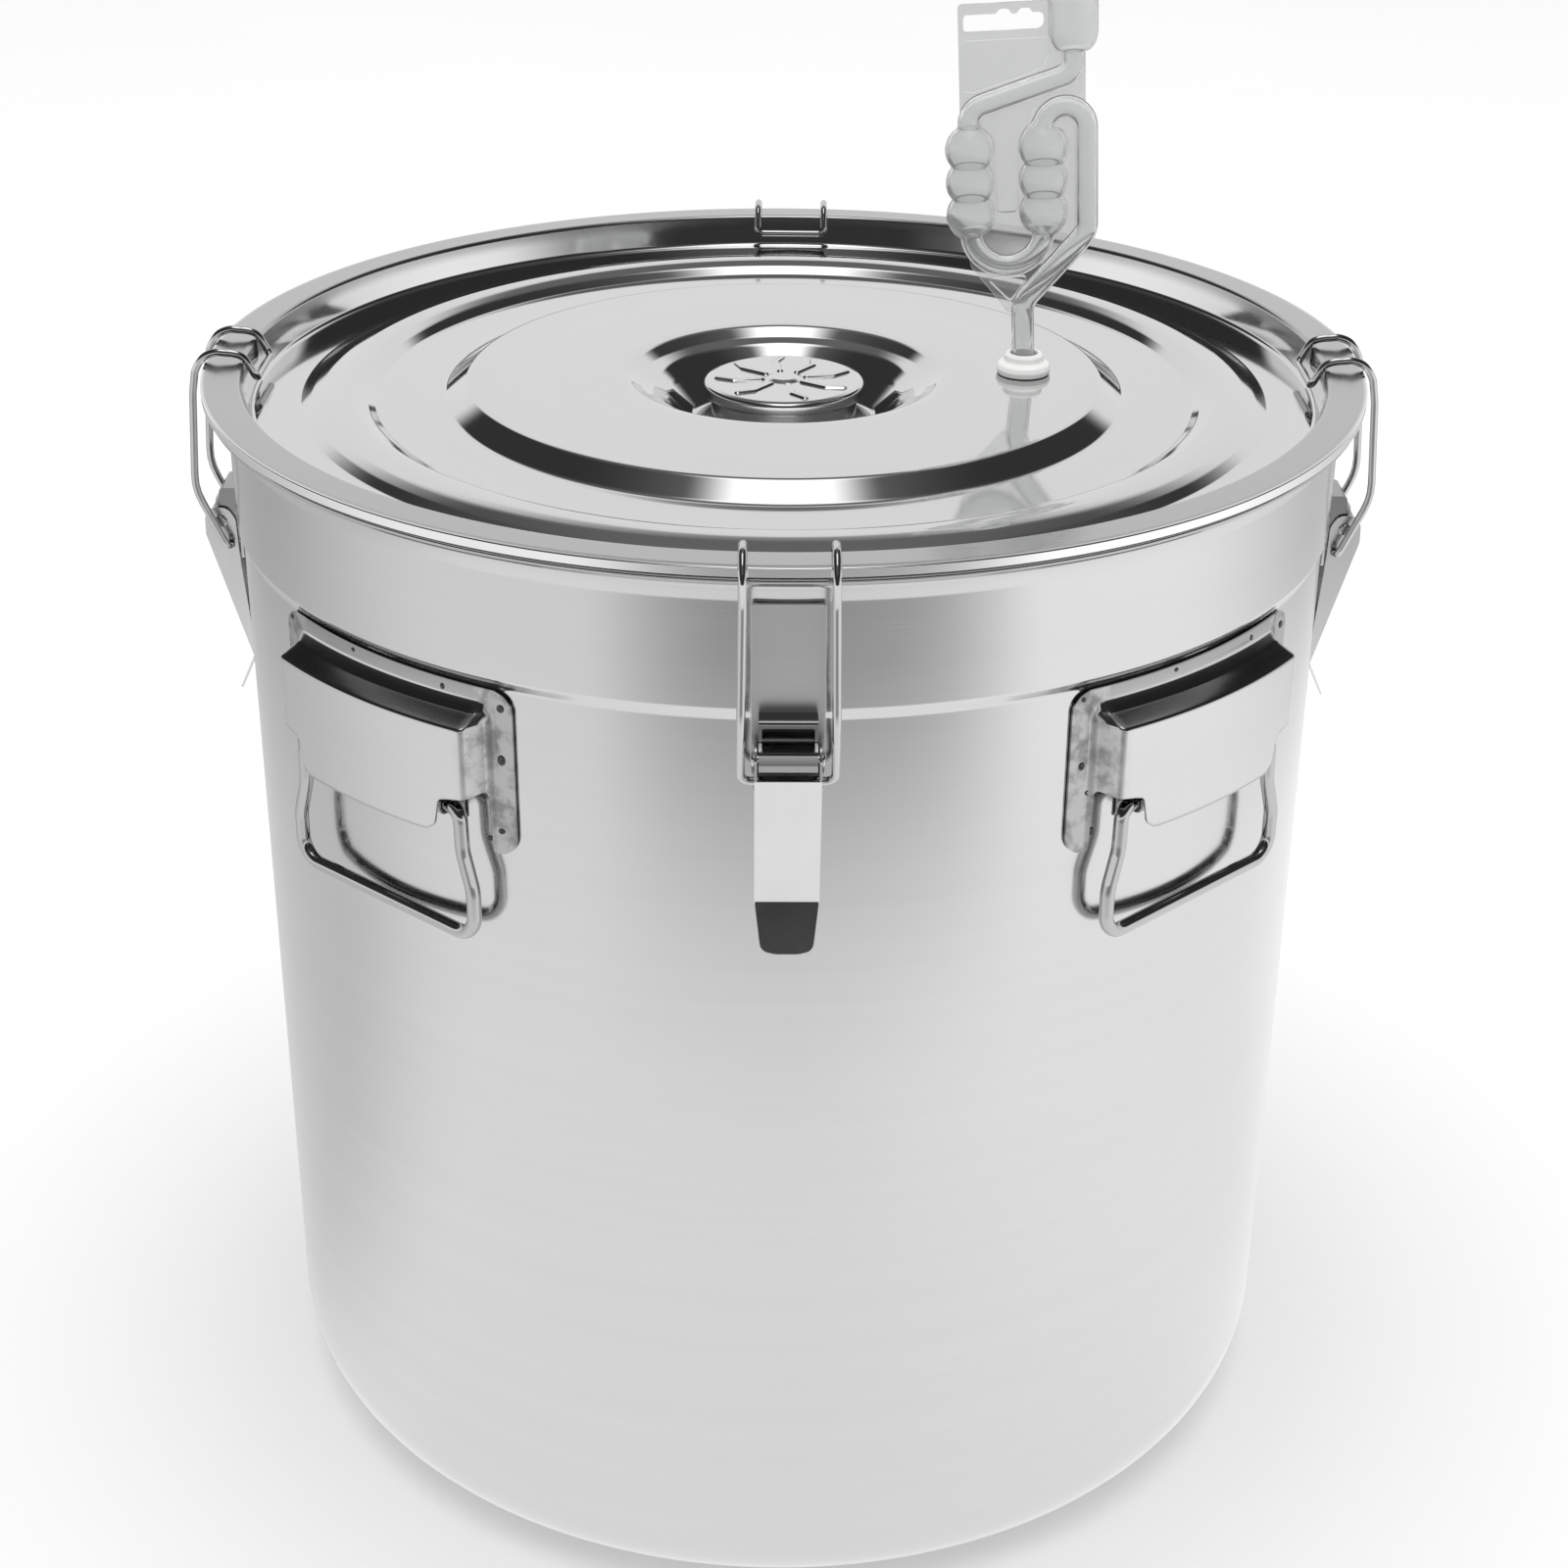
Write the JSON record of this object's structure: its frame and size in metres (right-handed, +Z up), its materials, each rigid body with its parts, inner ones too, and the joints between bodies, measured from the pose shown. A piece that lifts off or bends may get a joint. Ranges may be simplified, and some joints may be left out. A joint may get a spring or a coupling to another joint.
{
  "type": "milk can",
  "caption": "Cylindrical stainless steel can with a pressed lid held by wire-bail clamps, drop handles under pressed covers, a central vent cap and a clear bubbler airlock.",
  "frame": {"origin": "centre of the can's underside, on the surface it stands on", "axes": "+Z up along the can's axis, -Y towards the front latch, +X towards the airlock side of the lid"},
  "size_m": [0.4402, 0.4404, 0.5469],
  "materials": {
    "satin_steel": "fine circumferential brushing",
    "mirror_steel": "mirror polish",
    "pressed_steel": "bright pressed sheet",
    "spring_wire": "polished drawn wire",
    "white_silicone": "matt white silicone",
    "clear_plastic": "clear moulded plastic"
  },
  "bodies": {
    "can": {"container_body": "satin_steel", "latch_front_plate": "pressed_steel", "latch_front_bracket": "pressed_steel", "latch_front_pin": "pressed_steel", "latch_right_plate": "pressed_steel", "latch_right_bracket": "pressed_steel", "latch_right_pin": "pressed_steel", "latch_back_plate": "pressed_steel", "latch_back_bracket": "pressed_steel", "latch_back_pin": "pressed_steel", "latch_left_plate": "pressed_steel", "latch_left_bracket": "pressed_steel", "latch_left_pin": "pressed_steel", "handle_front_left_cover": "pressed_steel", "handle_front_left_hinge": "pressed_steel", "handle_front_right_cover": "pressed_steel", "handle_front_right_hinge": "pressed_steel", "handle_back_right_cover": "pressed_steel", "handle_back_right_hinge": "pressed_steel", "handle_back_left_cover": "pressed_steel", "handle_back_left_hinge": "pressed_steel"},
    "lid": {"lid_shell": "mirror_steel", "lid_gasket": "white_silicone", "vent_neck": "pressed_steel", "vent_nut": "pressed_steel", "airlock_grommet": "white_silicone"},
    "cap": {"vent_cap": "mirror_steel", "vent_seal": "white_silicone"},
    "bubbler": {"airlock": "clear_plastic"},
    "lever_front": {"latch_front_lever": "pressed_steel"},
    "bail_front": {"latch_front_bail": "spring_wire"},
    "lever_right": {"latch_right_lever": "pressed_steel"},
    "bail_right": {"latch_right_bail": "spring_wire"},
    "lever_back": {"latch_back_lever": "pressed_steel"},
    "bail_back": {"latch_back_bail": "spring_wire"},
    "lever_left": {"latch_left_lever": "pressed_steel"},
    "bail_left": {"latch_left_bail": "spring_wire"},
    "grip_front_left": {"handle_front_left_bail": "spring_wire"},
    "grip_front_right": {"handle_front_right_bail": "spring_wire"},
    "grip_back_right": {"handle_back_right_bail": "spring_wire"},
    "grip_back_left": {"handle_back_left_bail": "spring_wire"}
  },
  "joints": [
    {"name": "lid_lift", "type": "slide", "parent": "can", "child": "lid", "axis": [0, 0, 1], "range_m": [0, 0.12]},
    {"name": "cap_lift", "type": "slide", "parent": "lid", "child": "cap", "axis": [0, 0, 1], "range_m": [0, 0.03]},
    {"name": "airlock_pull", "type": "slide", "parent": "lid", "child": "bubbler", "axis": [-0.0576, 0, 0.9983], "range_m": [0, 0.06]},
    {"name": "lever_front_hinge", "type": "hinge", "parent": "can", "child": "lever_front", "pos_m": [0.0024, -0.21139, 0.3531], "axis": [-0.9999, -0.0113, 0], "range_deg": [0, 120]},
    {"name": "bail_front_hinge", "type": "hinge", "parent": "lever_front", "child": "bail_front", "pos_m": [0.00236, -0.20839, 0.3441], "axis": [-0.9999, -0.0113, 0], "range_deg": [-165, 0], "deforming": ["latch_front_bail"]},
    {"name": "lever_right_hinge", "type": "hinge", "parent": "can", "child": "lever_right", "pos_m": [0.2114, 0, 0.3531], "axis": [0, -1, 0], "range_deg": [0, 120]},
    {"name": "bail_right_hinge", "type": "hinge", "parent": "lever_right", "child": "bail_right", "pos_m": [0.2084, 0, 0.3441], "axis": [0, -1, 0], "range_deg": [-165, 0], "deforming": ["latch_right_bail"]},
    {"name": "lever_back_hinge", "type": "hinge", "parent": "can", "child": "lever_back", "pos_m": [0.0024, 0.21139, 0.3531], "axis": [0.9999, -0.0113, 0], "range_deg": [0, 120]},
    {"name": "bail_back_hinge", "type": "hinge", "parent": "lever_back", "child": "bail_back", "pos_m": [0.00236, 0.20839, 0.3441], "axis": [0.9999, -0.0113, 0], "range_deg": [-165, 0], "deforming": ["latch_back_bail"]},
    {"name": "lever_left_hinge", "type": "hinge", "parent": "can", "child": "lever_left", "pos_m": [-0.2114, 0, 0.3531], "axis": [0, 1, 0], "range_deg": [0, 120]},
    {"name": "bail_left_hinge", "type": "hinge", "parent": "lever_left", "child": "bail_left", "pos_m": [-0.2084, 0, 0.3441], "axis": [0, 1, 0], "range_deg": [-165, 0], "deforming": ["latch_left_bail"]},
    {"name": "handle_front_left_hinge", "type": "hinge", "parent": "can", "child": "grip_front_left", "pos_m": [-0.13389, -0.15457, 0.3191], "axis": [-0.7559, 0.6547, 0], "range_deg": [0, 90]},
    {"name": "handle_front_right_hinge", "type": "hinge", "parent": "can", "child": "grip_front_right", "pos_m": [0.14025, -0.14883, 0.3191], "axis": [-0.7278, -0.6858, 0], "range_deg": [0, 90]},
    {"name": "handle_back_right_hinge", "type": "hinge", "parent": "can", "child": "grip_back_right", "pos_m": [0.13684, 0.15197, 0.3191], "axis": [0.7431, -0.6691, 0], "range_deg": [0, 90]},
    {"name": "handle_back_left_hinge", "type": "hinge", "parent": "can", "child": "grip_back_left", "pos_m": [-0.13684, 0.15197, 0.3191], "axis": [0.7431, 0.6691, 0], "range_deg": [0, 90]}
  ],
  "couplings": [
    {"joint": "bail_front_hinge", "follows": "lever_front_hinge", "ratio": -1.375},
    {"joint": "bail_right_hinge", "follows": "lever_right_hinge", "ratio": -1.375},
    {"joint": "bail_back_hinge", "follows": "lever_back_hinge", "ratio": -1.375},
    {"joint": "bail_left_hinge", "follows": "lever_left_hinge", "ratio": -1.375}
  ]
}
